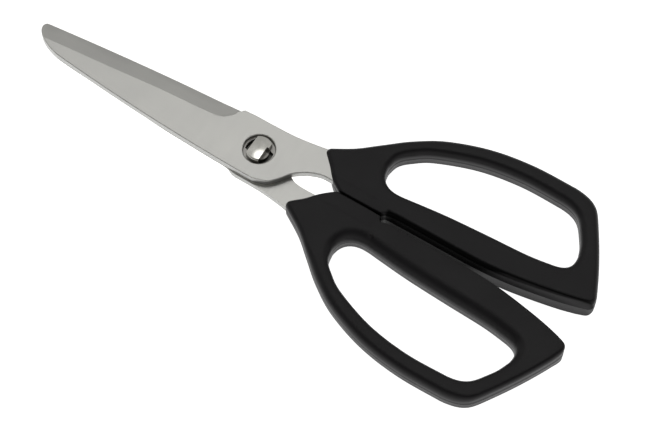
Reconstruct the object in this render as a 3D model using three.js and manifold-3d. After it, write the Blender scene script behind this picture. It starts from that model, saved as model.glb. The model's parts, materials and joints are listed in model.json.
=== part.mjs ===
// Poultry shears: two steel blades crossing at a take-apart pivot stud, each with a moulded finger-loop
// handle over its tang. The shears lie flat and closed on a table: +X runs to the tips, +Z is up, and the
// outlines below are drawn in millimetres from the pivot axis, then the whole is centred on its box.

import * as THREE from 'three';
import { mergeVertices } from 'three/addons/utils/BufferGeometryUtils.js';
import Module from 'manifold-3d';

const wasm = await Module();
wasm.setup();

// ---- Driving dimensions -------------------------------------------------------------------------

const tipReach = 92.8;            // pivot axis to the blade tips
const handleReach = 127.8;        // pivot axis to the back of the handles
const centreLine = 0.7;           // the handles' centre line, on the +Y side of the pivot axis
const handleThickness = 8;
const handleEdgeRadius = 1.8;     // rounding of the handles' top and bottom edges
const noseRadius = 1.9;           // rounding of the handles' front corner, seen from above
const padLine = -0.4;             // where the closed-stop pads meet, across from the centre line
const padGap = 0.15;              // each pad's face to that line
const slotHalfGap = 1.75;         // the handles' inner sides behind the pads, to the centre line
const lowerHandleLead = 1.1;      // how far the lower handle's front face stands ahead of the upper one's

const bladeThickness = 2.7;
const bladeGap = 0.2;             // air between the two blades' inner faces
const midPlane = 4.1;             // height of the plane where the blades meet
const shoulderHalfWidth = 10.8;   // half the blades' width at the pivot
const lowerInset = 0.7;           // the lower blade is this much smaller all round, ahead of the pivot
const lowerWaist = 5.5;           // how much nearer the pivot the lower blade's S-curve stands

const grindWidth = 7.2;           // width of the ground bevel, seen from above
const grindRise = 0.081;          // slope of the bevel's upper line towards the tip
const grindOffset = 3.55;         // how far that line stands from the pivot axis where it straightens
const grindRunOut = 7.4;          // length of the curved end where the grinding wheel stopped
const edgeLand = 0.35;            // thickness left at the cutting edge
const upperGrindStart = 11.8;     // pivot axis to where each grind runs out
const lowerGrindStart = 4.2;

const counterboreRadius = 5.7;    // round recess in the upper blade that holds the stud's head
const counterboreDepth = 1.3;
const counterboreChamfer = 0.3;
const neckRadius = 3.6;           // the stud's bearing
const shankRadius = 2.8;          // the stud's stem through the lower blade
const tailRadius = 4.3;           // the riveted tail under the lower blade
const tailDepth = 1.5;            // depth of its countersunk seat
const tailProud = 0.3;            // how far it stands out below the blade
const headRadius = 4.85;
const headHalfWidth = 2.95;       // pivot axis to the head's two long flats
const headStepFlat = 2.2;         // the stepped half of the handle-side flat
const headStepStart = -1.7;
const headDome = 0.35;
const headRise = 0.7;             // the dome's rim above the upper blade's face
const runningGap = 0.15;          // clearance round the bearing, the head and every fixed fit
const releaseAngle = 110;         // opening angle, in degrees, at which the head meets its slot
const slotHalfWidth = headHalfWidth + 0.1;
const slotReach = headRadius + runningGap;

const roundSides = 48;            // flats round a full circle
const forwardSteps = 14;          // steps along each curve of the blades ahead of the pivot
const rearSteps = 6;              // the same behind the pivot
const handleSteps = 5;
const domeSteps = 4;
const overcut = 1;                // how far a cutting tool passes a face that it opens
const farAway = 60;               // larger than any cut needs

// ---- Shared shapes ------------------------------------------------------------------------------

const lowerBottom = midPlane - bladeGap / 2 - bladeThickness;
const upperBottom = midPlane + bladeGap / 2;
const upperTop = upperBottom + bladeThickness;
const counterboreFloor = upperTop - counterboreDepth;

const steel = { color: 0xbcbbb5, roughness: 0.34, metalness: 1 };
const polishedSteel = { color: 0xc9c7c0, roughness: 0.16, metalness: 1 };
const blackPlastic = { color: 0x242223, roughness: 0.55, metalness: 0 };

function vectors(pairs) {
  return pairs.map(([x, y]) => new THREE.Vector2(x, y));
}

// A closed mesh as a manifold solid: only the positions are kept, and shared corners are merged.
function solid(geometry) {
  const bare = geometry.clone();
  bare.deleteAttribute('normal');
  bare.deleteAttribute('uv');
  const merged = mergeVertices(bare, 1e-4);
  return new wasm.Manifold(new wasm.Mesh({
    numProp: 3,
    vertProperties: new Float32Array(merged.attributes.position.array),
    triVerts: new Uint32Array(merged.index.array),
  }));
}

function geometryOf(body) {
  const mesh = body.getMesh();
  const geometry = new THREE.BufferGeometry();
  geometry.setAttribute('position', new THREE.BufferAttribute(mesh.vertProperties, 3));
  geometry.setIndex(new THREE.BufferAttribute(mesh.triVerts, 1));
  geometry.computeVertexNormals();
  return geometry;
}

function namedMesh(name, body, look) {
  const mesh = new THREE.Mesh(geometryOf(body), new THREE.MeshStandardMaterial(look));
  mesh.name = name;
  return mesh;
}

function plate(points, bottom, thickness) {
  const geometry = new THREE.ExtrudeGeometry(new THREE.Shape(points), {
    depth: thickness,
    bevelEnabled: false,
  });
  return solid(geometry.translate(0, 0, bottom));
}

// A solid of revolution about the pivot axis, from [radius, height] pairs.
function turned(profile) {
  const geometry = new THREE.LatheGeometry(vectors(profile), roundSides);
  return solid(geometry.rotateX(Math.PI / 2));
}

function bore(radius, bottom, top) {
  return turned([[0, bottom], [radius, bottom], [radius, top], [0, top]]);
}

function block(minX, maxX, minY, maxY, bottom, top) {
  const geometry = new THREE.BoxGeometry(maxX - minX, maxY - minY, top - bottom);
  return solid(geometry.translate((minX + maxX) / 2, (minY + maxY) / 2, (bottom + top) / 2));
}

// Moves a closed outline outwards by a small amount, square to its own direction at each point.
function grown(points, amount) {
  const turn = THREE.ShapeUtils.isClockWise(points) ? -1 : 1;
  return points.map((point, i) => {
    const before = points[(i + points.length - 1) % points.length];
    const after = points[(i + 1) % points.length];
    const along = after.clone().sub(before).normalize();
    return new THREE.Vector2(point.x + turn * along.y * amount, point.y - turn * along.x * amount);
  });
}

function turnedOver(points) {
  return points.map((point) => new THREE.Vector2(point.x, -point.y)).reverse();
}

// ---- Blades -------------------------------------------------------------------------------------

// Both blades share the outline ahead of the pivot, so that the closed lower one hides under the upper
// one. It runs from the +Y shoulder along one long side, round the nose and back along the other side.
function forwardOutline(inset) {
  const noseX = tipReach - inset;
  const path = new THREE.Path();
  path.moveTo(8, shoulderHalfWidth - inset);
  path.quadraticCurveTo(43, 9.95 - inset, 80, 5.85 - inset);
  path.bezierCurveTo(86.5 - inset, 5 - inset, noseX, 1.1, noseX, -2.8);
  path.quadraticCurveTo(noseX, -4.4 + inset, 91.3 - inset, -4.5 + inset);
  path.quadraticCurveTo(52.7, -8.7 + inset, 14, -10.45 + inset);
  path.lineTo(8, -shoulderHalfWidth + inset);
  return path.getPoints(forwardSteps);
}

// The outline behind the pivot, for a blade whose handle is on the -Y side: the outer edge of the neck,
// the tongue that the handle is moulded over, and the S-curve that rises to the other shoulder.
function rearOutline(waist) {
  const path = new THREE.Path();
  path.moveTo(2.5, -10.8);
  path.splineThru(vectors([[-7.3, -11], [-14.6, -11.8], [-20.1, -12.7], [-27, -13.9]]));
  path.splineThru(vectors([[-35, -13.4], [-41, -9.8], [-48, -8.2]]));
  path.quadraticCurveTo(-52.6, -7.6, -52.6, -6.2);
  path.quadraticCurveTo(-52.6, -4.9, -48, -4.4);
  path.splineThru(vectors([[-38, -3.6], [-28, -2.95], [-23.5 + waist, -2.7], [-19 + 0.9 * waist, -1]]));
  path.splineThru(vectors([
    [-14.9 + 0.8 * waist, 2.1],
    [-11.9 + 0.7 * waist, 6.2],
    [-8.8 + 0.6 * waist, 9.3],
    [-4 + 0.6 * waist, 10.9],
  ]));
  return path.getPoints(rearSteps);
}

// The outline of a blade. The lower one carries its handle on the +Y side, and lies along the centre line.
function bladeOutline(side) {
  if (side < 0) {
    return [...forwardOutline(0), ...rearOutline(0)];
  }
  const centred = [...forwardOutline(lowerInset), ...turnedOver(rearOutline(lowerWaist))];
  return centred.map((point) => new THREE.Vector2(point.x, point.y + centreLine));
}

// The grinding tool: a slab whose underside is the bevel plane and whose handle-side end is rounded.
// It takes the -Y edge of a blade down to its land.
function grind(start) {
  const length = tipReach + 6 - start;
  const path = new THREE.Path();
  path.moveTo(-1.2, -13);
  path.lineTo(0, -11.4);
  path.splineThru(vectors([
    [0.9, -10.2], [2.2, -8.2], [3.3, -6.3], [5, -4.65], [grindRunOut, -grindOffset],
  ]));
  path.lineTo(length, -grindOffset + grindRise * (length - grindRunOut));
  path.lineTo(length, -13);
  const slab = new THREE.Shape(path.getPoints(5));
  const geometry = new THREE.ExtrudeGeometry(slab, { depth: 8, bevelEnabled: false });
  // The slab hinges about the bevel's upper line, which lies in the blade's outer face.
  geometry.translate(-grindRunOut, grindOffset, 0);
  geometry.rotateZ(-Math.atan(grindRise));
  geometry.rotateX(Math.atan((bladeThickness - edgeLand) / grindWidth));
  geometry.rotateZ(Math.atan(grindRise));
  geometry.translate(start + grindRunOut, -grindOffset, upperTop);
  return solid(geometry);
}

// The take-apart pocket of the upper blade: a chamfered counterbore, the bearing hole, and the release
// slot that lets the head through once the shears are opened to the release angle.
function pivotPocket() {
  const rim = upperTop;
  const recess = turned([
    [0, counterboreFloor],
    [counterboreRadius, counterboreFloor],
    [counterboreRadius, rim - counterboreChamfer],
    [counterboreRadius + 2 * counterboreChamfer, rim + counterboreChamfer],
    [0, rim + counterboreChamfer],
  ]);
  const bearing = bore(neckRadius + runningGap, upperBottom - overcut, counterboreFloor + 0.1);
  const lane = block(
    -slotReach, slotReach, -slotHalfWidth, slotHalfWidth, upperBottom - overcut, rim - 0.1,
  );
  const slot = lane.intersect(bore(slotReach, upperBottom - 2 * overcut, rim + overcut));
  return recess.add(bearing).add(slot.rotate([0, 0, 270 - releaseAngle]));
}

function upperBlade() {
  return plate(bladeOutline(-1), upperBottom, bladeThickness)
    .subtract(grind(upperGrindStart))
    .subtract(pivotPocket());
}

// The lower blade has its bevel underneath, and a countersunk seat for the stud's riveted tail.
function lowerBlade() {
  const grindBelow = grind(lowerGrindStart).rotate([180, 0, 0]).translate([0, 0, 2 * midPlane]);
  const tailSeat = turned([
    [0, lowerBottom - overcut],
    [tailRadius + runningGap + overcut, lowerBottom - overcut],
    [tailRadius + runningGap, lowerBottom],
    [shankRadius + runningGap, lowerBottom + tailDepth],
    [shankRadius + runningGap, midPlane + overcut],
    [0, midPlane + overcut],
  ]);
  return plate(bladeOutline(1), lowerBottom, bladeThickness).subtract(grindBelow).subtract(tailSeat);
}

// ---- Handles ------------------------------------------------------------------------------------

// The handle on the +Y side, drawn from its nose round the outside of the loop to the closed-stop pad.
// Its front face stands ahead of the plain position by the given lead, and its pad's face lies at padY.
function handleShape(lead, padY) {
  const noseX = -22.1 + 0.85 * lead;
  const noseY = 12.7 - 0.6 * lead;
  const noseStart = -0.77;
  const noseEnd = 1;
  const shape = new THREE.Shape();
  shape.moveTo(noseX + noseRadius * Math.cos(noseEnd), noseY + noseRadius * Math.sin(noseEnd));
  shape.splineThru(vectors([
    [-28.4, 18.9], [-35.3, 24.8], [-43.1, 31.4], [-53.5, 37.9], [-68.4, 43.2], [-84.2, 45.6], [-101, 45.7],
  ]));
  shape.bezierCurveTo(-106, 45.3, -109.6, 44.2, -112, 40.9);
  shape.quadraticCurveTo(-121, 27.5, -126.8, 14.4);
  shape.bezierCurveTo(-handleReach - 0.6, 10.8, -handleReach - 0.5, 8.9, -125.3, 8.2);
  shape.splineThru(vectors([
    [-117.5, 6.1], [-107.5, 4.15], [-97.5, 2.65], [-87.5, 1.9], [-75, slotHalfGap], [-51.6, slotHalfGap],
  ]));
  shape.quadraticCurveTo(-50, slotHalfGap, -49.6, padY);
  shape.lineTo(-33.4 + 1.5 * lead, padY);
  shape.splineThru(vectors([[-28.5 + lead, 3.4 - 0.1 * lead], [-25 + 0.8 * lead, 7.1 - 0.4 * lead]]));
  shape.absarc(noseX, noseY, noseRadius, noseStart, noseEnd);
  shape.holes.push(fingerLoop());
  return shape;
}

function fingerLoop() {
  const hole = new THREE.Path();
  hole.moveTo(-41.9, 18.5);
  hole.splineThru(vectors([
    [-43, 22.9], [-46.6, 26.6], [-53.1, 30.9], [-67.9, 36.3], [-83.6, 38.7], [-99.3, 38.6],
  ]));
  hole.bezierCurveTo(-104.5, 38.2, -106.9, 36.6, -109.1, 33.3);
  hole.splineThru(vectors([[-112.4, 28.1], [-114.2, 23.4]]));
  hole.bezierCurveTo(-115, 18.9, -113.7, 16.8, -109, 15.9);
  hole.splineThru(vectors([[-99.5, 14.6], [-83.6, 13.8], [-67.7, 12.8], [-52, 11.1]]));
  hole.bezierCurveTo(-46.5, 10.5, -42.2, 12.4, -41.9, 18.5);
  return hole;
}

// The tang's pocket opens through the front face, where the blade comes out.
function handle(side) {
  const lead = side > 0 ? lowerHandleLead : 0;
  const shell = solid(new THREE.ExtrudeGeometry(handleShape(lead, padGap + side * padLine), {
    depth: handleThickness - 2 * handleEdgeRadius,
    curveSegments: handleSteps,
    bevelThickness: handleEdgeRadius,
    bevelSize: handleEdgeRadius,
    bevelOffset: -handleEdgeRadius,
    bevelSegments: 2,
  }).translate(0, 0, handleEdgeRadius));
  const bottom = side > 0 ? lowerBottom : upperBottom;
  const tang = grown(bladeOutline(side), runningGap);
  const pocket = plate(tang, bottom - runningGap, bladeThickness + 2 * runningGap);
  const placed = (side > 0 ? shell : shell.mirror([0, 1, 0])).translate([0, centreLine, 0]);
  return placed.subtract(pocket);
}

// ---- Pivot stud ---------------------------------------------------------------------------------

// One turned part: riveted tail, shank, bearing neck and a domed head. Two flats make the head a bar
// that lies across the shears while they are closed.
function pivotStud() {
  const headBottom = counterboreFloor + runningGap;
  const headEdge = upperTop + headRise;
  const dome = [];
  for (let step = 0; step <= domeSteps; step += 1) {
    const across = 1 - step / domeSteps;
    dome.push([headRadius * across, headEdge + headDome * (1 - across * across)]);
  }
  const body = turned([
    [0, lowerBottom - tailProud],
    [tailRadius - 2 * tailProud, lowerBottom - tailProud],
    [tailRadius, lowerBottom],
    [shankRadius, lowerBottom + tailDepth],
    [shankRadius, midPlane + 0.05],
    [neckRadius, midPlane + 0.05],
    [neckRadius, headBottom],
    [headRadius, headBottom],
    ...dome,
  ]);
  const tipFlat = block(headHalfWidth, farAway, -farAway, farAway, headBottom, farAway);
  const handleFlat = block(-farAway, -headHalfWidth, -farAway, farAway, headBottom, farAway);
  const stepFlat = block(-farAway, -headStepFlat, headStepStart, farAway, headBottom, farAway);
  return body.subtract(tipFlat).subtract(handleFlat).subtract(stepFlat);
}

// ---- Assembly -----------------------------------------------------------------------------------

const lowerHalf = new THREE.Group();
lowerHalf.add(
  namedMesh('lower_blade', lowerBlade(), steel),
  namedMesh('lower_handle', handle(1), blackPlastic),
  namedMesh('pivot_stud', pivotStud(), polishedSteel),
);

const upperHalf = new THREE.Group();
upperHalf.add(
  namedMesh('upper_blade', upperBlade(), steel),
  namedMesh('upper_handle', handle(-1), blackPlastic),
);

const poultryShears = new THREE.Group();
poultryShears.add(lowerHalf, upperHalf);
poultryShears.position.set((handleReach - tipReach) / 2, -centreLine, 0);

export default poultryShears;
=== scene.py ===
"""Poultry shears: the finished look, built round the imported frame.

The fine pieces take their outlines from sections of the CAD nodes that they replace. Modelling is in
millimetres, and a mesh is scaled to metres as it is made.
"""

import json
import math

import bpy
import numpy as np
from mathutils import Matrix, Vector, geometry


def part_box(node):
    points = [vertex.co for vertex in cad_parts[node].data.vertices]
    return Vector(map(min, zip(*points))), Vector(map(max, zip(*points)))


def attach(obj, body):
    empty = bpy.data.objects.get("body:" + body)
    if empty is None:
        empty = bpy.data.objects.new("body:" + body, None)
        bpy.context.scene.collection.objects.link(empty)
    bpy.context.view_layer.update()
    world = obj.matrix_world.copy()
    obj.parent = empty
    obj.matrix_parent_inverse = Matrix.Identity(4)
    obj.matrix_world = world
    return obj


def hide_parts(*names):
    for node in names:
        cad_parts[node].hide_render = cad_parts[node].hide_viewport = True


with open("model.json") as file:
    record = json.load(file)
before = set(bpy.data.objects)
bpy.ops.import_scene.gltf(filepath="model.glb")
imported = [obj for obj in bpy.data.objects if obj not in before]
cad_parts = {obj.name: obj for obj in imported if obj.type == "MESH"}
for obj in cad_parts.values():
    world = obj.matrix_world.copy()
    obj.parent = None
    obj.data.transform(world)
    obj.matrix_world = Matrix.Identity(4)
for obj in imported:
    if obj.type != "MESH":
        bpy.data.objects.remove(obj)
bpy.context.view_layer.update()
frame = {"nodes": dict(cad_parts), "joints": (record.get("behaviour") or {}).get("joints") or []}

MM = 0.001

# ---- Sizes that the frame doesn't give, in millimetres ---------------------------------------------
# X and Y are from the pivot axis, with Y from the handles' centre line on a handle, and +X to the tips.

EDGE_ROUND = 0.28        # rounding of the blades' face edges
FOOT_ROUND = 0.1         # rounding of the blades' inner face edges
MICRO_BEVEL = 0.45       # width of the honed strip along each cutting edge
HONED_SLOPE = 0.3
GRIND_WIDTH = 7.2        # width of the ground bevel, seen from above
EDGE_LAND = 0.35         # thickness left at the cutting edge
THINNEST = 0.04          # no part of a blade is left thinner than this
RUN_OUT_SLOPE = 2.4      # steepness of the wall where the grinding wheel stopped
RUN_OUT_SOFTNESS = 0.35  # how gently that wall turns into the bevel
RUN_OUT_LENGTH = 6.4     # from the bevel's start to where its border is the long line
RUN_OUT = ((-0.2, -11.8), (0.9, -10.4), (2.2, -8.2), (3.3, -6.3), (5.2, -4.55), (7.6, -3.7))
LOWER_RUN_OUT_DROP = 0.35  # the lower blade's run-out ends this much lower
BEVEL_BORDER = ((22.5, -3.2), (42.5, -1.9), (62.5, -0.05), (82.5, 1.65), (94, 2.8))
HEEL_REACH = 9           # past this from its start, the bevel is one plane
LOWER_GRIND_START = 4.2
UPPER_GRIND_START = 11.8

COUNTERBORE_RADIUS = 5.7
COUNTERBORE_DEPTH = 1.3
COUNTERBORE_CHAMFER = ((0.36, 0), (0.2, 0.05), (0.08, 0.15), (0, 0.32))  # growth of radius, and depth
TAIL_SEAT = ((2.9, 1.55), (4.42, 0.06), (4.5, 0))                        # radius and depth

HEAD_RADIUS = 4.85       # the stud's head
HEAD_RISE = 0.7          # from the blade's face to the rim of the head
HEAD_DOME = 0.35
HEAD_CLEARANCE = 0.1     # between the head and the counterbore's floor
HEAD_BEVEL = 0.1
SHANK_RADIUS = 2.8
NECK_RADIUS = 3.6
TAIL = ((2.6, 0), (3.5, 0.06), (4.1, 0.25), (4.3, 0.4), (2.8, 1.85))     # radius, and height
# What is cut off for each flat: a span in X and one in Y.
HEAD_FLATS = (((2.95, 9), (-9, 9)), ((-9, -2.95), (-9, 9)), ((-9, -2.2), (-1.7, 9)))

CENTRE_LINE = 0.7        # the handles' centre line, on the +Y side of the pivot axis
HANDLE_ROUND = 1.8       # rounding of the front block's top and bottom edges
BLOCK_END = -36          # the front block ends here, and the finger loop's bar begins
STOP_END = -50           # the closed stop's pads end here, and the gap behind them begins
STOP_SIDE_REAR = (-118, -95)  # the stop side's rounding changes into "stop_end" between these
STOP_SIDE_WIDTH = 9.5    # the side that faces the other handle lies within this much of the centre line
LOOP_UNDER_ROUND = (1.3, 1.3)  # on the undersides, round the finger loops

# The width and height of the roundings on the handle that the thumb lies on, and on the finger one.
THUMB_ROUNDS = {
    "inner_bar": (4.6, 3.6), "outer_bar": (2.0, 2.0), "stop_side": (0.5, 0.5), "stop_end": (0.5, 0.5),
    "outside": (2.6, 2.6), "rear_end": (1.7, 1.7), "pad": (0.35, 0.35),
}
FINGER_ROUNDS = {
    "inner_bar": (2.0, 2.0), "outer_bar": (2.6, 2.6), "stop_side": (1.45, 1.45), "stop_end": (0.75, 0.75),
    "outside": (2.0, 2.0), "rear_end": (2.0, 2.0), "pad": (1.2, 1.2),
}
STEP_LINE = 5.2          # the low step on the front blocks' faces
STEP_HEIGHT = 0.14
STEP_HALF_WIDTH = 0.6
FACE_SLOPE = 0.015       # slope of the face between the step and the centre line
GATE_MARK = (-50.5, 7.8) # the mark where the plastic entered the lower handle's mould
GATE_RADIUS = 0.9
GATE_HEIGHT = 0.3
WALL_LEAN = 1.0          # how far the sides facing each other lean over, at the top and bottom edges
LEAN_REAR = -130         # no lean at the rear end
PARTING_RIDGE = 0.05     # height of the mould's parting line on the handles' walls
TANG_FIT = 0.06          # gap left between a tang and its handle
HANDLE_SHARP = 40        # turns over this angle, in degrees, are drawn as edges

CAMERA_HEADING = 148.01  # degrees from +Y towards +X, looking from the camera over the object
CAMERA_ELEVATION = 62.51
CAMERA_REACH = 0.98573   # metres from the target
CAMERA_TARGET = (-0.01429, 0.00649, 0)
CAMERA_LENS = 157.8
FLOOR_HALF = 3.0         # metres
FLOOR_GAP = 0.02         # millimetres between the floor and the lowest point
TABLE_GLOW = 1.0
SKY_STRENGTH = 1.75
SKY = (
    (0, 0.05), (12, 0.14), (25, 0.28), (45, 0.27), (55, 0.3), (62, 0.35), (75, 0.3), (81, 0.12),
    (88, 0.02), (115, 0.02), (130, 0.2), (155, 0.4), (180, 0.5),
)
LAMP_ANGLE = 72          # height of the lamp over the far horizon, in degrees
LAMP_GLOW = 2.1
LAMP_RIM = (9, 4)        # the lamp's glow grows between these angles from its middle, in degrees

pivot_joint = frame["joints"][0]
PIVOT = np.array(pivot_joint["pos_m"][:2]) / MM


# ---- Outlines --------------------------------------------------------------------------------------

def node_box(node):
    low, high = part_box(node)
    return np.array(low) / MM, np.array(high) / MM


def section(node, height):
    """The closed outlines where a level plane cuts a CAD node, longest first, solid on the left."""
    mesh = frame["nodes"][node].data
    mesh.calc_loop_triangles()
    corners = np.array([v.co for v in mesh.vertices]) / MM
    _, welded = np.unique(np.round(corners, 3), axis=0, return_inverse=True)
    welded = welded.ravel()
    steps, places = {}, {}
    for triangle in mesh.loop_triangles:
        ids = list(triangle.vertices)
        p = corners[ids]
        above = p[:, 2] > height
        if above.all() or not above.any():
            continue
        ends = []
        for a, b in ((0, 1), (1, 2), (2, 0)):
            if above[a] != above[b]:
                share = (height - p[a, 2]) / (p[b, 2] - p[a, 2])
                key = tuple(sorted((int(welded[ids[a]]), int(welded[ids[b]]))))
                places[key] = (p[a] + share * (p[b] - p[a]))[:2]
                ends.append(key)
        normal = np.cross(p[1] - p[0], p[2] - p[0])
        along = places[ends[1]] - places[ends[0]]
        if -normal[1] * along[0] + normal[0] * along[1] < 0:
            ends.reverse()
        steps[ends[0]] = ends[1]
    loops = []
    while steps:
        start = next(iter(steps))
        loop, key = [], start
        while key in steps:
            loop.append(places[key])
            key = steps.pop(key)
        loops.append(without_straight_points(np.array(loop)))
    return sorted(loops, key=lambda loop: -np.ptp(loop[:, 0]))


def turning(loop):
    """The turn at each point of a closed outline, in radians."""
    before = loop - np.roll(loop, 1, axis=0)
    after = np.roll(loop, -1, axis=0) - loop
    cross = before[:, 0] * after[:, 1] - before[:, 1] * after[:, 0]
    return np.arctan2(cross, (before * after).sum(axis=1))


def without_straight_points(loop):
    gap = np.linalg.norm(loop - np.roll(loop, 1, axis=0), axis=1)
    loop = loop[gap > 1e-3]
    return loop[np.abs(turning(loop)) > math.radians(0.15)]


def curve_span(before, a, b, after, pieces):
    """Points on a smooth curve from a up to but not including b, which also passes the outer two."""
    knots = [0.0]
    for p, q in ((before, a), (a, b), (b, after)):
        knots.append(knots[-1] + max(np.linalg.norm(q - p), 1e-6) ** 0.5)
    t0, t1, t2, t3 = knots
    start = (a - before) / (t1 - t0) - (b - before) / (t2 - t0) + (b - a) / (t2 - t1)
    end = (b - a) / (t2 - t1) - (after - a) / (t3 - t1) + (after - b) / (t3 - t2)
    start, end = start * (t2 - t1), end * (t2 - t1)
    points = []
    for k in range(pieces):
        t = k / pieces
        points.append((2 * t**3 - 3 * t**2 + 1) * a + (t**3 - 2 * t**2 + t) * start
                      + (3 * t**2 - 2 * t**3) * b + (t**3 - t**2) * end)
    return points


def smooth_outline(loop, spacing, corner=45):
    """A curve through a coarse outline's points, resampled evenly. Turns over the corner angle stay sharp."""
    sharp = np.abs(turning(loop)) > math.radians(corner)
    count = len(loop)
    made = []
    for i in range(count):
        a, b = loop[i], loop[(i + 1) % count]
        before = 2 * a - b if sharp[i] else loop[i - 1]
        after = 2 * b - a if sharp[(i + 1) % count] else loop[(i + 2) % count]
        made += curve_span(before, a, b, after, max(1, round(np.linalg.norm(b - a) / spacing)))
    return np.array(made)


def circle(radius, count, centre=PIVOT, clockwise=False):
    angles = np.linspace(0, 2 * math.pi, count, endpoint=False)
    if clockwise:
        angles = -angles
    return centre + radius * np.column_stack((np.cos(angles), np.sin(angles)))


def inset(loop, amount):
    """The outline moved towards its solid side by an amount."""
    before = loop - np.roll(loop, 1, axis=0)
    after = np.roll(loop, -1, axis=0) - loop
    before /= np.linalg.norm(before, axis=1)[:, None]
    after /= np.linalg.norm(after, axis=1)[:, None]
    normal = np.column_stack((-(before + after)[:, 1], (before + after)[:, 0]))
    length = np.linalg.norm(normal, axis=1)[:, None]
    normal /= np.maximum(length, 1e-9)
    stretch = 2 / np.maximum(length, 1.2)
    return loop + normal * stretch * amount


def distance(points, loops):
    """The distance from each point to the nearest of the outlines."""
    best = np.full(len(points), 1e9)
    for loop in loops:
        following = np.roll(loop, -1, axis=0)
        for first in range(0, len(loop), 64):
            a, b = loop[first:first + 64], following[first:first + 64]
            run = b - a
            reach = points[:, None, :] - a
            share = np.clip((reach * run).sum(2) / np.maximum((run * run).sum(1), 1e-12), 0, 1)
            gap = reach - share[..., None] * run
            best = np.minimum(best, np.sqrt((gap * gap).sum(2)).min(axis=1))
    return best


def inside(points, loops):
    """True for each point that is within the outlines, holes left out."""
    crossings = np.zeros(len(points), dtype=int)
    for loop in loops:
        for a, b in zip(loop, np.roll(loop, -1, axis=0)):
            spans = (a[1] > points[:, 1]) != (b[1] > points[:, 1])
            if spans.any():
                rise = b[1] - a[1]
                x = a[0] + (points[:, 1] - a[1]) * (b[0] - a[0]) / (rise if rise else 1e-12)
                crossings += spans & (points[:, 0] < x)
    return crossings % 2 == 1


# ---- Building closed meshes ------------------------------------------------------------------------

class Shell:
    """Collects the points and faces of one closed piece, in millimetres."""

    def __init__(self):
        self.points = []
        self.faces = []

    def ring(self, plan, heights):
        heights = np.broadcast_to(heights, len(plan))
        first = len(self.points)
        self.points += [(x, y, z) for (x, y), z in zip(plan, heights)]
        return list(range(first, len(self.points)))

    def wall(self, low, high):
        for i in range(len(low)):
            j = (i + 1) % len(low)
            self.faces.append((low[i], low[j], high[j], high[i]))

    def walls(self, rings):
        for low, high in zip(rings, rings[1:]):
            self.wall(low, high)

    def cap(self, rings, height, up, extra=(), lines=()):
        """Fills the area between rings with triangles, with extra points on a height function."""
        edge_ids = [i for ring in rings for i in ring]
        loops = [np.array([self.points[i][:2] for i in ring]) for ring in rings]
        plan = np.concatenate([*loops, np.array(extra).reshape(-1, 2)])
        edges, first = [], 0
        for ring in rings:
            count = len(ring)
            edges += [(first + k, first + (k + 1) % count) for k in range(count)]
            first += count
        edges += [(first + a, first + b) for a, b in lines]
        made = geometry.delaunay_2d_cdt([Vector(p) for p in plan], edges, [], 0, 1e-6)
        places, triangles, origins = made[0], made[2], made[3]
        places = np.array([tuple(p) for p in places])
        kept = [tuple(t) for t in triangles if len(t) == 3]
        middles = places[np.array(kept)].mean(axis=1)
        kept = [t for t, within in zip(kept, inside(middles, loops)) if within]
        ids = {}
        fresh = sorted({i for t in kept for i in t})
        levels = height(places[fresh])
        for i, level in zip(fresh, levels):
            known = [o for o in origins[i] if o < len(edge_ids)]
            if known:
                ids[i] = edge_ids[known[0]]
            else:
                ids[i] = len(self.points)
                self.points.append((*places[i], level))
        for t in kept:
            a, b, c = (places[i] for i in t)
            facing_up = (b[0] - a[0]) * (c[1] - a[1]) - (b[1] - a[1]) * (c[0] - a[0]) > 0
            face = tuple(ids[i] for i in t)
            if len(set(face)) == 3:
                self.faces.append(face if facing_up == up else face[::-1])

    def piece(self, name, sharp=15, turn_over=None):
        """The mesh object. With turn_over, it is first turned half round about X at that height."""
        points = np.array(self.points)
        if turn_over is not None:
            points = (0, 2 * PIVOT[1], 2 * turn_over) + points * (1, -1, -1)
        mesh = bpy.data.meshes.new(name)
        mesh.from_pydata((points * MM).tolist(), [], self.faces)
        mesh.validate()
        mesh.shade_smooth()
        mesh.set_sharp_from_angle(angle=math.radians(sharp))
        made = bpy.data.objects.new(name, mesh)
        bpy.context.collection.objects.link(made)
        return made


def grid(loops, spacing, clearance):
    """Evenly staggered points within the outlines, clear of their edges."""
    low = np.min([loop.min(axis=0) for loop in loops], axis=0)
    high = np.max([loop.max(axis=0) for loop in loops], axis=0)
    rows = []
    for row, y in enumerate(np.arange(low[1], high[1], spacing * 0.866)):
        x = np.arange(low[0] + (row % 2) * spacing / 2, high[0], spacing)
        rows.append(np.column_stack((x, np.full(len(x), y))))
    points = np.concatenate(rows)
    points = points[inside(points, loops)]
    return points[distance(points, loops) > clearance]


def contour_points(loops, depths):
    """Rows of points at set depths inside the outlines, and the lines that join neighbours in a row.
    Each depth is one number, or a number for every point of every outline."""
    points, lines, total = [], [], 0
    for depth in depths:
        for k, loop in enumerate(loops):
            here = np.broadcast_to(depth if np.isscalar(depth) else depth[k], len(loop))
            moved = inset(loop, here[:, None])
            good = (distance(moved, loops) > here - 0.01) & inside(moved, loops)
            ids = np.full(len(moved), -1)
            ids[good] = total + np.arange(good.sum())
            following = np.roll(ids, -1)
            lines += [(int(a), int(b)) for a, b in zip(ids, following) if a >= 0 and b >= 0]
            points.append(moved[good])
            total += int(good.sum())
    return np.concatenate(points), lines


def cut(piece, tool):
    """Takes one mesh out of another."""
    modifier = piece.modifiers.new("cut", "BOOLEAN")
    modifier.operation = "DIFFERENCE"
    modifier.solver = "EXACT"
    modifier.object = tool
    apply_modifiers(piece)
    bpy.data.objects.remove(tool)


def apply_modifiers(piece):
    view = bpy.context.evaluated_depsgraph_get()
    finished = bpy.data.meshes.new_from_object(piece.evaluated_get(view))
    piece.modifiers.clear()
    piece.data = finished


# ---- Materials -------------------------------------------------------------------------------------

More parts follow.
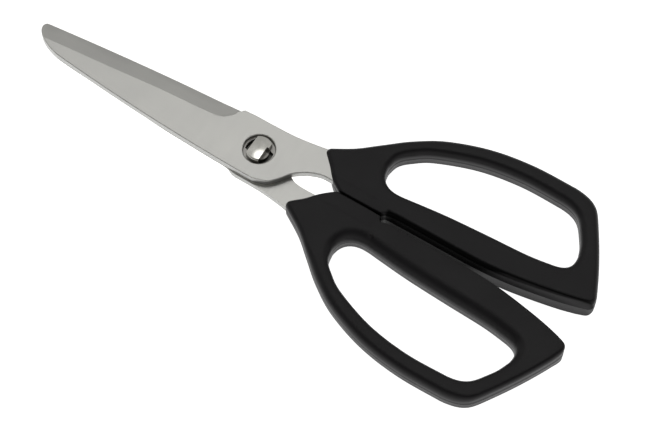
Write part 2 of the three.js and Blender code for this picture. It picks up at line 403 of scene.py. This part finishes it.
def new_material(name):
    material = bpy.data.materials.new(name)
    material.use_nodes = True
    nodes = material.node_tree.nodes
    return material, nodes, material.node_tree.links, nodes["Principled BSDF"]


def stretched_noise(nodes, links, scale, stretch, detail=3.0):
    """Noise drawn out along one direction, as grinding and brushing marks are."""
    place = nodes.new("ShaderNodeTexCoord")
    mapping = nodes.new("ShaderNodeMapping")
    mapping.inputs["Scale"].default_value = stretch
    noise = nodes.new("ShaderNodeTexNoise")
    noise.inputs["Scale"].default_value = scale
    noise.inputs["Detail"].default_value = detail
    links.new(place.outputs["Object"], mapping.inputs["Vector"])
    links.new(mapping.outputs["Vector"], noise.inputs["Vector"])
    return noise.outputs["Fac"]


def ramp(nodes, links, value, low, high, start=0.3, end=0.7):
    """Maps a texture value to a range."""
    node = nodes.new("ShaderNodeMapRange")
    node.inputs["From Min"].default_value = start
    node.inputs["From Max"].default_value = end
    node.inputs["To Min"].default_value = low
    node.inputs["To Max"].default_value = high
    links.new(value, node.inputs["Value"])
    return node.outputs["Result"]


def calculate(nodes, links, operation, first, second=0):
    """One step of arithmetic on values, each a number or a node's output."""
    node = nodes.new("ShaderNodeMath")
    node.operation = operation
    for socket, value in zip(node.inputs, (first, second)):
        if isinstance(value, (int, float)):
            socket.default_value = value
        else:
            links.new(value, socket)
    return node.outputs["Value"]


def vector_step(nodes, links, operation, vector, other=None):
    """One step of arithmetic on a vector, with another vector that is the same all over."""
    node = nodes.new("ShaderNodeVectorMath")
    node.operation = operation
    links.new(vector, node.inputs[0])
    if other:
        node.inputs[1].default_value = other
    return node


def blend(nodes, links, share, first, second):
    """A colour, or a tone from other nodes, that turns into the second colour by a share from 0 to 1."""
    node = nodes.new("ShaderNodeMix")
    node.data_type = "RGBA"
    if isinstance(first, tuple):
        node.inputs["A"].default_value = (*first, 1)
    else:
        links.new(first, node.inputs["A"])
    node.inputs["B"].default_value = (*second, 1)
    links.new(share, node.inputs["Factor"])
    return node.outputs["Result"]


def bump(nodes, links, value, strength, depth):
    node = nodes.new("ShaderNodeBump")
    node.inputs["Strength"].default_value = strength
    node.inputs["Distance"].default_value = depth
    links.new(value, node.inputs["Height"])
    return node.outputs["Normal"]


def blanked_edge(nodes, links):
    """1 on the blades' upright sides, which are left duller than the faces."""
    shape = nodes.new("ShaderNodeNewGeometry")
    split = nodes.new("ShaderNodeSeparateXYZ")
    links.new(shape.outputs["Normal"], split.inputs["Vector"])
    return ramp(nodes, links, calculate(nodes, links, "ABSOLUTE", split.outputs["Z"]), 1, 0, 0.25, 0.6)


def pivot_painted_shade(nodes, links, low, high):
    """Painted shade: 1 close round the pivot axis and under a level, falling to 0 outside and on the lowest
    face.
    """
    place = nodes.new("ShaderNodeTexCoord")
    axis = (PIVOT[0] * MM, PIVOT[1] * MM, 0)
    away = vector_step(nodes, links, "SUBTRACT", place.outputs["Object"], axis).outputs["Vector"]
    flat = vector_step(nodes, links, "MULTIPLY", away, (1, 1, 0)).outputs["Vector"]
    radius = vector_step(nodes, links, "LENGTH", flat).outputs["Value"]
    split = nodes.new("ShaderNodeSeparateXYZ")
    links.new(away, split.inputs["Vector"])
    near = ramp(nodes, links, radius, 1, 0, 0.0058, 0.0062)
    below = ramp(nodes, links, split.outputs["Z"], 1, 0, low, high)
    above = ramp(nodes, links, split.outputs["Z"], 0, 1, 0.0014, 0.0018)
    return calculate(nodes, links, "MULTIPLY", calculate(nodes, links, "MULTIPLY", near, below), above)


def painted_seam_shade(nodes, links):
    """Painted shade: 1 in the narrow seam between the closed handles, darkened to stand in for the shade that
    falls
    there: along the closed stop's pads, and down the slot behind them. It works in millimetres."""
    def step(operation, first, second):
        return calculate(nodes, links, operation, first, second)

    place = nodes.new("ShaderNodeTexCoord")
    scaled = nodes.new("ShaderNodeVectorMath")
    scaled.operation = "SCALE"
    scaled.inputs["Scale"].default_value = 1 / MM
    links.new(place.outputs["Object"], scaled.inputs[0])
    split = nodes.new("ShaderNodeSeparateXYZ")
    links.new(scaled.outputs["Vector"], split.inputs["Vector"])
    x, y = split.outputs["X"], split.outputs["Y"]
    # The slot's sides curve away from the centre line towards the back.
    behind = step("MAXIMUM", step("SUBTRACT", -70, x), 0)
    curve = step("POWER", step("DIVIDE", behind, 10), 1.42)
    straight = step("ADD", y, step("MULTIPLY", curve, 0.9))
    # Near the stop all of the side gets the painted shade, and near the back only its top edge does.
    over = step("SUBTRACT", straight, ramp(nodes, links, x, -2.5, 0.7, -80, -55))
    slot = step("MULTIPLY", ramp(nodes, links, over, 1, 0, -0.9, 0.1),
                ramp(nodes, links, straight, 0, 1, -4.3, -3.3))
    pads = step("MULTIPLY", ramp(nodes, links, y, 0, 1, -1.7, -1.2), ramp(nodes, links, y, 1, 0, -0.3, 0.1))
    mix = nodes.new("ShaderNodeMix")
    links.new(ramp(nodes, links, x, 0, 1, -33.5, -32.5), mix.inputs["Factor"])
    links.new(slot, mix.inputs["A"])
    links.new(pads, mix.inputs["B"])
    return mix.outputs["Result"]


def satin_steel():
    """Brushed stainless steel, with painted shade in the pivot's recess and between the blades there."""
    material, nodes, links, shader = new_material("satin_steel")
    shader.inputs["Metallic"].default_value = 1.0
    clouds = stretched_noise(nodes, links, 60, (1, 1, 1))
    brushing = stretched_noise(nodes, links, 2400, (1, 0.04, 1))
    tone = blend(nodes, links, ramp(nodes, links, clouds, 0, 1), (0.64, 0.635, 0.61), (0.68, 0.675, 0.645))
    tone = blend(nodes, links, blanked_edge(nodes, links), tone, (0.37, 0.37, 0.36))
    # Painted shade: the pivot's recess is darkened, and darker still low down between the blades.
    tone = blend(nodes, links, pivot_painted_shade(nodes, links, 0.0062, 0.0067), tone, (0.4, 0.39, 0.37))
    tone = blend(nodes, links, pivot_painted_shade(nodes, links, 0.0044, 0.0055), tone, (0.12, 0.12, 0.11))
    links.new(tone, shader.inputs["Base Color"])
    links.new(ramp(nodes, links, brushing, 0.32, 0.37), shader.inputs["Roughness"])
    links.new(bump(nodes, links, brushing, 0.04, 0.00002), shader.inputs["Normal"])
    return material


def polished_steel():
    """The stud's brighter steel, finely scratched, with painted shade low in the pivot's recess."""
    material, nodes, links, shader = new_material("polished_steel")
    shader.inputs["Metallic"].default_value = 1.0
    clouds = stretched_noise(nodes, links, 400, (1, 1, 1))
    scratches = stretched_noise(nodes, links, 3000, (0.05, 1, 1))
    tone = blend(nodes, links, ramp(nodes, links, clouds, 0, 1), (0.6, 0.59, 0.55), (0.69, 0.68, 0.64))
    # Painted shade on the stud, low in the pivot's recess.
    tone = blend(nodes, links, pivot_painted_shade(nodes, links, 0.0058, 0.0062), tone, (0.3, 0.29, 0.27))
    links.new(tone, shader.inputs["Base Color"])
    links.new(ramp(nodes, links, clouds, 0.1, 0.15), shader.inputs["Roughness"])
    links.new(bump(nodes, links, scratches, 0.03, 0.00001), shader.inputs["Normal"])
    return material


def black_plastic():
    """Matt black moulded plastic with a fine grain, and painted shade in the seam between the closed handles.
    """
    material, nodes, links, shader = new_material("black_plastic")
    clouds = stretched_noise(nodes, links, 90, (1, 1, 1))
    grain = stretched_noise(nodes, links, 5200, (1, 1, 1), 2.0)
    share = ramp(nodes, links, clouds, 0, 1)
    tone = blend(nodes, links, share, (0.0055, 0.0046, 0.0058), (0.007, 0.0059, 0.0073))
    # Painted shade: in the seam between the closed handles the colour goes near black and the reflection is
    # turned down.
    seam = painted_seam_shade(nodes, links)
    links.new(blend(nodes, links, seam, tone, (0.001, 0.001, 0.001)), shader.inputs["Base Color"])
    shader.inputs["Specular IOR Level"].default_value = 0.35
    links.new(ramp(nodes, links, seam, 0.35, 0.05, 0, 1), shader.inputs["Specular IOR Level"])
    links.new(ramp(nodes, links, clouds, 0.42, 0.48), shader.inputs["Roughness"])
    links.new(bump(nodes, links, grain, 0.18, 0.00004), shader.inputs["Normal"])
    return material


# ---- Handles ---------------------------------------------------------------------------------------

def from_centre(points, side):
    """Points as a handle's own X and Y: from the pivot along the centre line, and away from that line."""
    return (points - PIVOT - (0, CENTRE_LINE)) * (1, side)


def direction(loop):
    """The outline's direction at each of its points."""
    along = np.roll(loop, -1, axis=0) - np.roll(loop, 1, axis=0)
    return along / np.linalg.norm(along, axis=1)[:, None]


def edge_shapes(loops, side, top):
    """The width and height of the edge rounding at each outline point. A handle's underside is shaped
    like the other handle's top."""
    rounds = THUMB_ROUNDS if (side > 0) == top else FINGER_ROUNDS
    outside = rounds["outside"] if top else (HANDLE_ROUND, HANDLE_ROUND)
    rear_end = rounds["rear_end"] if top else outside
    inner_bar = rounds["inner_bar"] if top else LOOP_UNDER_ROUND
    outer_bar = rounds["outer_bar"] if top else LOOP_UNDER_ROUND
    shapes = []
    for k, loop in enumerate(loops):
        place, along = from_centre(loop, side), direction(loop)
        outward = -along[:, 0] * side
        values = np.empty((len(loop), 2))
        if k == 0:
            values[:] = outside
            values[along[:, 1] < -0.6] = rear_end
            stop = (outward < -0.3) & (place[:, 1] < STOP_SIDE_WIDTH)
            share = np.interp(place[stop, 0], STOP_SIDE_REAR, (1, 0))[:, None]
            values[stop] = share * rounds["stop_end"] + (1 - share) * np.array(rounds["stop_side"])
            values[place[:, 0] > BLOCK_END] = HANDLE_ROUND
            values[(place[:, 0] > STOP_END - 1) & (place[:, 1] < 5)] = rounds["pad"]
        else:
            share = np.clip(0.5 + 1.2 * outward, 0, 1)[:, None]
            values[:] = share * inner_bar + (1 - share) * np.array(outer_bar)
        reach = 7
        spread = sum(np.roll(values, step, axis=0) for step in range(-reach, reach + 1))
        shapes.append(spread / (2 * reach + 1))
    return shapes


def edge_fall(points, loops, shapes):
    """How far the rounded edges take a handle's face down at each point."""
    fall = np.zeros(len(points))
    for loop, shape in zip(loops, shapes):
        nearest = np.full(len(points), 1e9)
        values = np.ones((len(points), 2))
        a, b = loop, np.roll(loop, -1, axis=0)
        c, d = shape, np.roll(shape, -1, axis=0)
        for first in range(0, len(points), 400):
            some = slice(first, first + 400)
            run = b - a
            reach = points[some, None, :] - a
            share = np.clip((reach * run).sum(2) / np.maximum((run * run).sum(1), 1e-12), 0, 1)
            gaps = np.linalg.norm(reach - share[..., None] * run, axis=2)
            pick = gaps.argmin(axis=1)
            rows = np.arange(len(pick))
            nearest[some] = gaps[rows, pick]
            mix = share[rows, pick][:, None]
            values[some] = (1 - mix) * c[pick] + mix * d[pick]
        width, height = values.T
        near = np.clip(1 - nearest / width, 0, 1)
        fall += height * (1 - np.sqrt(1 - near**2))
    return fall


def wall_profile(low, high, lower, upper):
    """Heights up a handle's side and how far it bulges there: plain, with the parting line in the middle.
    The rings next to the rounded edges keep the shading of those edges off the plain side."""
    middle = (low + high) / 2
    plain = np.full(len(lower), middle)
    return [
        (0, low + lower), (0, np.minimum(low + lower + 0.2, middle - 0.2)), (0, plain - 0.16),
        (PARTING_RIDGE, plain - 0.07), (PARTING_RIDGE, plain + 0.07),
        (0, plain + 0.16), (0, np.maximum(high - upper - 0.2, middle + 0.2)), (0, high - upper),
    ]


def front_relief(points, side):
    """How far the front block's face stands up: a low step along it, and the moulding gate's mark."""
    place = from_centre(points, side)
    along = np.clip((place[:, 0] - STOP_END) / 4, 0, 1)
    ramped = (STEP_LINE + STEP_HALF_WIDTH - place[:, 1]) / (2 * STEP_HALF_WIDTH)
    step = STEP_HEIGHT * np.clip(ramped, 0, 1)
    slope = FACE_SLOPE * np.clip(STEP_LINE - STEP_HALF_WIDTH - place[:, 1], 0, None)
    gate = np.linalg.norm(place - GATE_MARK, axis=1)
    mark = GATE_HEIGHT * np.clip(1 - (gate / GATE_RADIUS)**2, 0, 1) if side > 0 else 0
    return side * along * (step + slope) + mark


def relief_points(loops, side):
    """Extra face points that the step and the gate's mark need."""
    detail = []
    if side > 0:
        dots = [circle(GATE_RADIUS * share / 3, 12, (0, 0)) for share in (1, 2, 3)]
        detail.append(np.concatenate(dots) + GATE_MARK + PIVOT + (0, CENTRE_LINE))
    crease_x = np.arange(STOP_END - 2, -26, 0.8)
    for off in (-0.9, -STEP_HALF_WIDTH, 0, STEP_HALF_WIDTH, 0.9):
        crease = np.column_stack((crease_x, np.full(len(crease_x), STEP_LINE + off))) * (1, side)
        detail.append(crease + PIVOT + (0, CENTRE_LINE))
    detail = np.concatenate(detail)
    detail = detail[inside(detail, loops)]
    return detail[distance(detail, loops) > 1.2]


def handle(node, blade_node, body, name, material):
    low, high = node_box(node)
    blade_low, blade_high = node_box(blade_node)
    side = 1 if node == "lower_handle" else -1
    plain = (high[2] + blade_high[2]) / 2 if side > 0 else (low[2] + blade_low[2]) / 2
    loops = [smooth_outline(loop, 0.6) for loop in section(node, plain)]
    over, under = edge_shapes(loops, side, True), edge_shapes(loops, side, False)
    shell = Shell()
    floors, tops = [], []
    for loop, upper, lower in zip(loops, over, under):
        profile = wall_profile(low[2], high[2], lower[:, 1], upper[:, 1])
        rings = [shell.ring(inset(loop, -bulge), z) for bulge, z in profile]
        shell.walls(rings)
        floors.append(rings[0])
        tops.append(rings[-1])

    angles = np.radians(np.arange(12, 91, 13))
    detail = relief_points(loops, side)
    grains = grid(loops, 1.8, HANDLE_ROUND + 0.7)
    gap = np.array([np.linalg.norm(detail - p, axis=1).min() for p in grains])
    grains = grains[gap > 0.7]

    def face(rings, shapes, height, up):
        rows = [[shape[:, 0] * (1 - math.cos(angle)) for shape in shapes] for angle in angles]
        extra, lines = contour_points(loops, rows)
        shell.cap(rings, height, up, np.concatenate((extra, grains, detail)), lines)

    face(tops, over, lambda p: high[2] - edge_fall(p, loops, over) + front_relief(p, side), True)
    face(floors, under, lambda p: low[2] + edge_fall(p, loops, under), False)
    lean(shell, loops[0], side, (low[2] + high[2]) / 2)
    made = shell.piece(name, sharp=HANDLE_SHARP)
    cut(made, tang_tool(blade_node, name))
    made.data.shade_smooth()
    made.data.set_sharp_from_angle(angle=math.radians(HANDLE_SHARP))
    made.data.materials.append(material)
    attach(made, body)
    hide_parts(node)
    return made


def lean(shell, outline, side, middle):
    """Leans the sides that face each other behind the closed stop, both the same way."""
    points = np.array(shell.points)
    place = from_centre(outline, side)
    facing = (-direction(outline)[:, 0] * side < 0) & (place[:, 1] < STOP_SIDE_WIDTH)
    edge = outline[facing & (place[:, 0] < STOP_END)]
    edge = edge[np.argsort(edge[:, 0])]
    behind = np.interp(points[:, 0], edge[:, 0], edge[:, 1])
    depth = np.abs(points[:, 1] - behind)
    x = points[:, 0] - PIVOT[0]
    share = np.clip(1 - depth / 7, 0, 1) * np.clip((STOP_END - x) / 4, 0, 1)
    share *= np.clip((x - LEAN_REAR) / 3, 0, 1)
    share = share * share * (3 - 2 * share)
    points[:, 1] -= WALL_LEAN * share * (points[:, 2] - middle) / 4
    shell.points = [tuple(point) for point in points]


def tang_tool(blade_node, name):
    """The space that a tang takes up in its handle, a hair larger than the steel."""
    low, high = node_box(blade_node)
    outline = smooth_outline(section(blade_node, inner_height(blade_node))[0], 0.8)
    outline = inset(outline, -TANG_FIT)
    shell = Shell()
    bottom = shell.ring(outline, low[2] - TANG_FIT)
    top = shell.ring(outline, high[2] + TANG_FIT)
    shell.wall(bottom, top)
    shell.cap([bottom], lambda p: np.full(len(p), low[2] - TANG_FIT), False)
    shell.cap([top], lambda p: np.full(len(p), high[2] + TANG_FIT), True)
    return shell.piece(name + "_tang_tool")


# ---- Blades ----------------------------------------------------------------------------------------

def inner_height(node):
    """A level just inside a blade's flat inner face, where its whole outline is left."""
    low, high = node_box(node)
    inner = high[2] if node == "lower_blade" else low[2]
    return inner + 0.1 * (1 if node == "upper_blade" else -1)


def grind_line(start):
    """The upper border of the ground bevel: its run-out curve, then the long line."""
    run_out, reach = np.array(RUN_OUT), np.array(BEVEL_BORDER)
    points = np.concatenate((run_out + (start, 0), reach[reach[:, 0] > start + run_out[-1, 0] - 0.1]))
    if start == LOWER_GRIND_START:
        points[len(run_out) - 1, 1] -= LOWER_RUN_OUT_DROP
    padded = np.vstack((2 * points[0] - points[1], points, 2 * points[-1] - points[-2]))
    dense = []
    for before, a, b, after in zip(padded, padded[1:], padded[2:], padded[3:]):
        dense += curve_span(before, a, b, after, max(2, round(np.linalg.norm(b - a) / 0.6)))
    dense.append(points[-1])
    return np.array(dense) + PIVOT


def blade(node, body, name, material, start, turned):
    """A blade with its outer face up and its cutting edge towards -Y. The lower one is turned over last."""
    low, high = node_box(node)
    mid = (node_box("lower_blade")[1][2] + node_box("upper_blade")[0][2]) / 2
    loops = [smooth_outline(loop, 0.5) for loop in section(node, inner_height(node))]
    bottom, top = low[2], high[2]
    if turned:
        loops = [((loop - PIVOT) * (1, -1) + PIVOT)[::-1] for loop in loops]
        bottom, top = 2 * mid - top, 2 * mid - bottom
    outline = loops[0]
    line = grind_line(start)
    long_part = line[line[:, 0] > PIVOT[0] + start + RUN_OUT_LENGTH]
    slope = (top - bottom - EDGE_LAND) / GRIND_WIDTH
    lead_x, lead_y = long_part[8] - long_part[0]
    heel = line[:40]  # the run-out curve, and the first of the long line

    def ground(points):
        """How far the grind takes the outer face down."""
        x, y = points[:, 0], points[:, 1]
        border = np.where(x < long_part[0, 0],
                          long_part[0, 1] + lead_y / lead_x * (x - long_part[0, 0]),
                          np.interp(x, long_part[:, 0], long_part[:, 1]))
        plane = slope * (border - y)
        gap = distance_to_line(points, line)
        run_out = np.interp(y, heel[:, 1], heel[:, 0])
        within = (y < border) & ((x > run_out) | (y > line[len(heel), 1])) & (x > line[0, 0])
        wall = RUN_OUT_SLOPE * gap
        soft = RUN_OUT_SOFTNESS
        mixed = -soft * np.log(np.exp(-np.clip(plane, 0, 9) / soft) + np.exp(-wall / soft))
        far = x > line[0, 0] + HEEL_REACH
        depth = np.where(far, plane, np.clip(mixed, 0, None))
        return np.where(within, np.clip(depth, 0, top - bottom - THINNEST), 0)

    def outer(points):
        gap = distance(points, [outline])
        near = EDGE_ROUND - np.minimum(gap, EDGE_ROUND)
        drop = EDGE_ROUND - np.sqrt(np.maximum(EDGE_ROUND**2 - near**2, 0))
        depth = ground(points)
        honed = HONED_SLOPE * np.clip(MICRO_BEVEL - gap, 0, None) * np.clip((depth - 1.6) / 0.4, 0, 1)
        return np.maximum(top - depth - drop - honed, bottom + THINNEST)

    shell = Shell()
    edge_top = outer(outline)
    share = np.clip((edge_top - bottom) / (top - bottom), 0, 1)
    foot = np.minimum(0.12, 0.5 * (edge_top - bottom))
    under = shell.ring(inset(outline, FOOT_ROUND), bottom)
    rings = [under, shell.ring(outline, bottom + foot * share), shell.ring(outline, edge_top)]
    shell.walls(rings)
    edge_points, lines = contour_points([outline], [0.04, 0.1, EDGE_ROUND, MICRO_BEVEL])
    crease = line[inside(line, [outline])]
    crease = crease[distance(crease, [outline]) > MICRO_BEVEL + 0.1]
    first = len(edge_points)
    lines += [(first + k, first + k + 1) for k in range(len(crease) - 1)]
    fine = grid([outline], 0.4, 0.7)
    # Close points are only needed round the run-out, whose wall is narrow.
    near_heel = (np.abs(fine[:, 0] - line[0, 0] - 4) < 5) & (fine[:, 1] < line[60, 1] + 1)
    fine = fine[near_heel & (distance_to_line(fine, line) > 0.25)]
    coarse = grid([outline], 3.0, 1.6)
    coarse = coarse[np.linalg.norm(coarse - PIVOT, axis=1) > 8]
    coarse = coarse[distance_to_line(coarse, line) > 1.2]
    apart = np.array([np.linalg.norm(fine - p, axis=1).min() for p in coarse])
    extra = np.concatenate((edge_points, crease, fine, coarse[apart > 1]))
    if turned:
        holes, under_holes = tail_seat(shell, bottom, top)
    else:
        holes, under_holes = head_pocket(shell, loops[1], bottom, top)
    shell.cap([rings[-1], *holes], outer, True, extra, lines)
    shell.cap([under, *under_holes], lambda p: np.full(len(p), bottom), False)
    made = shell.piece(name, sharp=14, turn_over=mid if turned else None)
    made.data.materials.append(material)
    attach(made, body)
    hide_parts(node)
    return made


def distance_to_line(points, line):
    """The distance from each point to an open line."""
    best = np.full(len(points), 1e9)
    for a, b in zip(line, line[1:]):
        run = b - a
        share = np.clip(((points - a) @ run) / max(run @ run, 1e-12), 0, 1)
        best = np.minimum(best, np.linalg.norm(points - a - share[:, None] * run, axis=1))
    return best


def head_pocket(shell, opening, bottom, top):
    """The chamfered counterbore, with the bearing hole and release slot through its floor."""
    floor = top - COUNTERBORE_DEPTH
    profile = [(growth, top - depth) for growth, depth in COUNTERBORE_CHAMFER]
    profile += [(0, floor + 0.12), (-0.12, floor)]
    rings = [shell.ring(circle(COUNTERBORE_RADIUS + growth, 96, clockwise=True), z) for growth, z in profile]
    shell.walls(rings[::-1])
    soft = 0.08
    slot = [
        shell.ring(opening, bottom),
        shell.ring(opening, floor - soft),
        shell.ring(inset(opening, soft), floor),
    ]
    shell.walls(slot)
    shell.cap([rings[-1][::-1], slot[-1]], lambda p: np.full(len(p), floor), True)
    return [rings[0]], [slot[0]]


def tail_seat(shell, bottom, top):
    """The countersunk hole that the stud's tail is riveted into."""
    profile = [(TAIL_SEAT[0][0], bottom)] + [(r, top - depth) for r, depth in TAIL_SEAT]
    rings = [shell.ring(circle(r, 72, clockwise=True), z) for r, z in profile]
    shell.walls(rings)
    return [rings[-1]], [rings[0]]


# ---- Pivot stud ------------------------------------------------------------------------------------

def pivot_stud(material):
    low, high = node_box("pivot_stud")
    _, lower_top = node_box("lower_blade")
    _, upper_top = node_box("upper_blade")
    floor = upper_top[2] - COUNTERBORE_DEPTH
    neck_bottom, head_bottom, rim = lower_top[2] + 0.05, floor + HEAD_CLEARANCE, upper_top[2] + HEAD_RISE
    profile = [(radius, low[2] + height) for radius, height in TAIL]
    profile += [
        (SHANK_RADIUS, neck_bottom), (NECK_RADIUS, neck_bottom), (NECK_RADIUS, head_bottom),
        (HEAD_RADIUS - 0.1, head_bottom), (HEAD_RADIUS, head_bottom + 0.1), (HEAD_RADIUS, rim - 0.12),
        (HEAD_RADIUS - 0.05, rim - 0.04),
    ]
    for k in range(8):
        across = 0.98 * (1 - k / 8)
        profile.append((HEAD_RADIUS * across, rim + HEAD_DOME * (1 - across * across)))
    count = 96
    shell = Shell()
    rings = [shell.ring(circle(r, count), z) for r, z in profile]
    shell.walls(rings)
    for ring, z, up in ((rings[0], low[2], False), (rings[-1], rim + HEAD_DOME, True)):
        tip = shell.ring(np.array([PIVOT]), z)[0]
        for i in range(count):
            a, b = ring[i], ring[(i + 1) % count]
            shell.faces.append((a, b, tip) if up else (b, a, tip))
    made = shell.piece("stud", sharp=30)
    for span_x, span_y in HEAD_FLATS:
        cut(made, box_tool(span_x, span_y, head_bottom, high[2] + 2))
    soften = made.modifiers.new("soften", "BEVEL")
    soften.width = HEAD_BEVEL * MM
    soften.segments = 2
    soften.angle_limit = math.radians(40)
    apply_modifiers(made)
    made.data.shade_smooth()
    made.data.set_sharp_from_angle(angle=math.radians(20))
    made.data.materials.clear()
    made.data.materials.append(material)
    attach(made, "lower_half")
    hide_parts("pivot_stud")
    return made


def box_tool(span_x, span_y, low, high):
    """An upright box over spans from the pivot axis, to cut with."""
    shell = Shell()
    corners = PIVOT + np.array([(span_x[0], span_y[0]), (span_x[1], span_y[0]),
                                (span_x[1], span_y[1]), (span_x[0], span_y[1])])
    bottom, top = shell.ring(corners, low), shell.ring(corners, high)
    shell.wall(bottom, top)
    shell.faces += [tuple(bottom[::-1]), tuple(top)]
    return shell.piece("flat_tool")


# ---- Stage -----------------------------------------------------------------------------------------

def toward(heading, height):
    """The direction at a heading and at a height over the horizon, both in degrees."""
    heading, height = math.radians(heading), math.radians(height)
    return math.sin(heading) * math.cos(height), math.cos(heading) * math.cos(height), math.sin(height)


def camera():
    """The main view: from behind the lower handle, high above the table, with a long lens."""
    forward = Vector(toward(CAMERA_HEADING, -CAMERA_ELEVATION))
    data = bpy.data.cameras.new("camera")
    data.sensor_width = 36
    data.lens = CAMERA_LENS
    made = bpy.data.objects.new("camera", data)
    bpy.context.collection.objects.link(made)
    made.location = Vector(CAMERA_TARGET) - CAMERA_REACH * forward
    made.rotation_euler = forward.to_track_quat("-Z", "Y").to_euler()
    bpy.context.scene.camera = made


def floor():
    """A pale light table: it glows a little from below, so the object throws hardly any shadow."""
    shell = Shell()
    ring = shell.ring(np.array([(-1, -1), (1, -1), (1, 1), (-1, 1)]) * FLOOR_HALF / MM, -FLOOR_GAP)
    shell.faces.append(tuple(ring))
    made = shell.piece("floor")
    material, nodes, links, shader = new_material("pale_floor")
    clouds = stretched_noise(nodes, links, 3, (1, 1, 1))
    tone = blend(nodes, links, ramp(nodes, links, clouds, 0, 1), (0.88, 0.88, 0.88), (0.9, 0.9, 0.9))
    links.new(tone, shader.inputs["Base Color"])
    shader.inputs["Roughness"].default_value = 0.8
    shader.inputs["Specular IOR Level"].default_value = 0.2
    shader.inputs["Emission Color"].default_value = (1, 1, 1, 1)
    shader.inputs["Emission Strength"].default_value = TABLE_GLOW
    made.data.materials.append(material)


def sky():
    """One long overhead softbox in a pale room. Its brightness is set by the angle over the object,
    from the far horizon at 0, over the zenith at 90, to the horizon behind the camera at 180."""
    world = bpy.data.worlds.new("studio")
    world.use_nodes = True
    nodes, links = world.node_tree.nodes, world.node_tree.links
    place = nodes.new("ShaderNodeTexCoord")
    turn = nodes.new("ShaderNodeMapping")
    turn.inputs["Rotation"].default_value = (0, 0, math.radians(CAMERA_HEADING - 90))
    links.new(place.outputs["Generated"], turn.inputs["Vector"])
    split = nodes.new("ShaderNodeSeparateXYZ")
    links.new(turn.outputs["Vector"], split.inputs["Vector"])
    angle = calculate(nodes, links, "ARCTAN2", split.outputs["Z"], split.outputs["X"])
    levels = nodes.new("ShaderNodeValToRGB")
    levels.color_ramp.interpolation = "LINEAR"
    links.new(calculate(nodes, links, "DIVIDE", angle, math.pi), levels.inputs["Fac"])
    steps = levels.color_ramp.elements
    while len(steps) < len(SKY):
        steps.new(0.5)
    for step, (degrees, level) in zip(steps, SKY):
        step.position = degrees / 180
        step.color = (level, level, level * 0.985, 1)
    at_lamp = toward(CAMERA_HEADING, LAMP_ANGLE)
    nearness = vector_step(nodes, links, "DOT_PRODUCT", place.outputs["Generated"], at_lamp).outputs["Value"]
    rim, core = (math.cos(math.radians(degrees)) for degrees in LAMP_RIM)
    lamp = ramp(nodes, links, nearness, 0, LAMP_GLOW / SKY_STRENGTH, rim, core)
    total = vector_step(nodes, links, "ADD", levels.outputs["Color"])
    links.new(lamp, total.inputs[1])
    links.new(total.outputs["Vector"], nodes["Background"].inputs["Color"])
    nodes["Background"].inputs["Strength"].default_value = SKY_STRENGTH
    bpy.context.scene.world = world
    bpy.context.scene.view_settings.view_transform = "Standard"


# ---- Assembly --------------------------------------------------------------------------------------

camera()
floor()
sky()
steel, bright, plastic = satin_steel(), polished_steel(), black_plastic()
blade("lower_blade", "lower_half", "blade_below", steel, LOWER_GRIND_START, True)
blade("upper_blade", "upper_half", "blade_above", steel, UPPER_GRIND_START, False)
pivot_stud(bright)
handle("lower_handle", "lower_blade", "lower_half", "grip_below", plastic)
handle("upper_handle", "upper_blade", "upper_half", "grip_above", plastic)
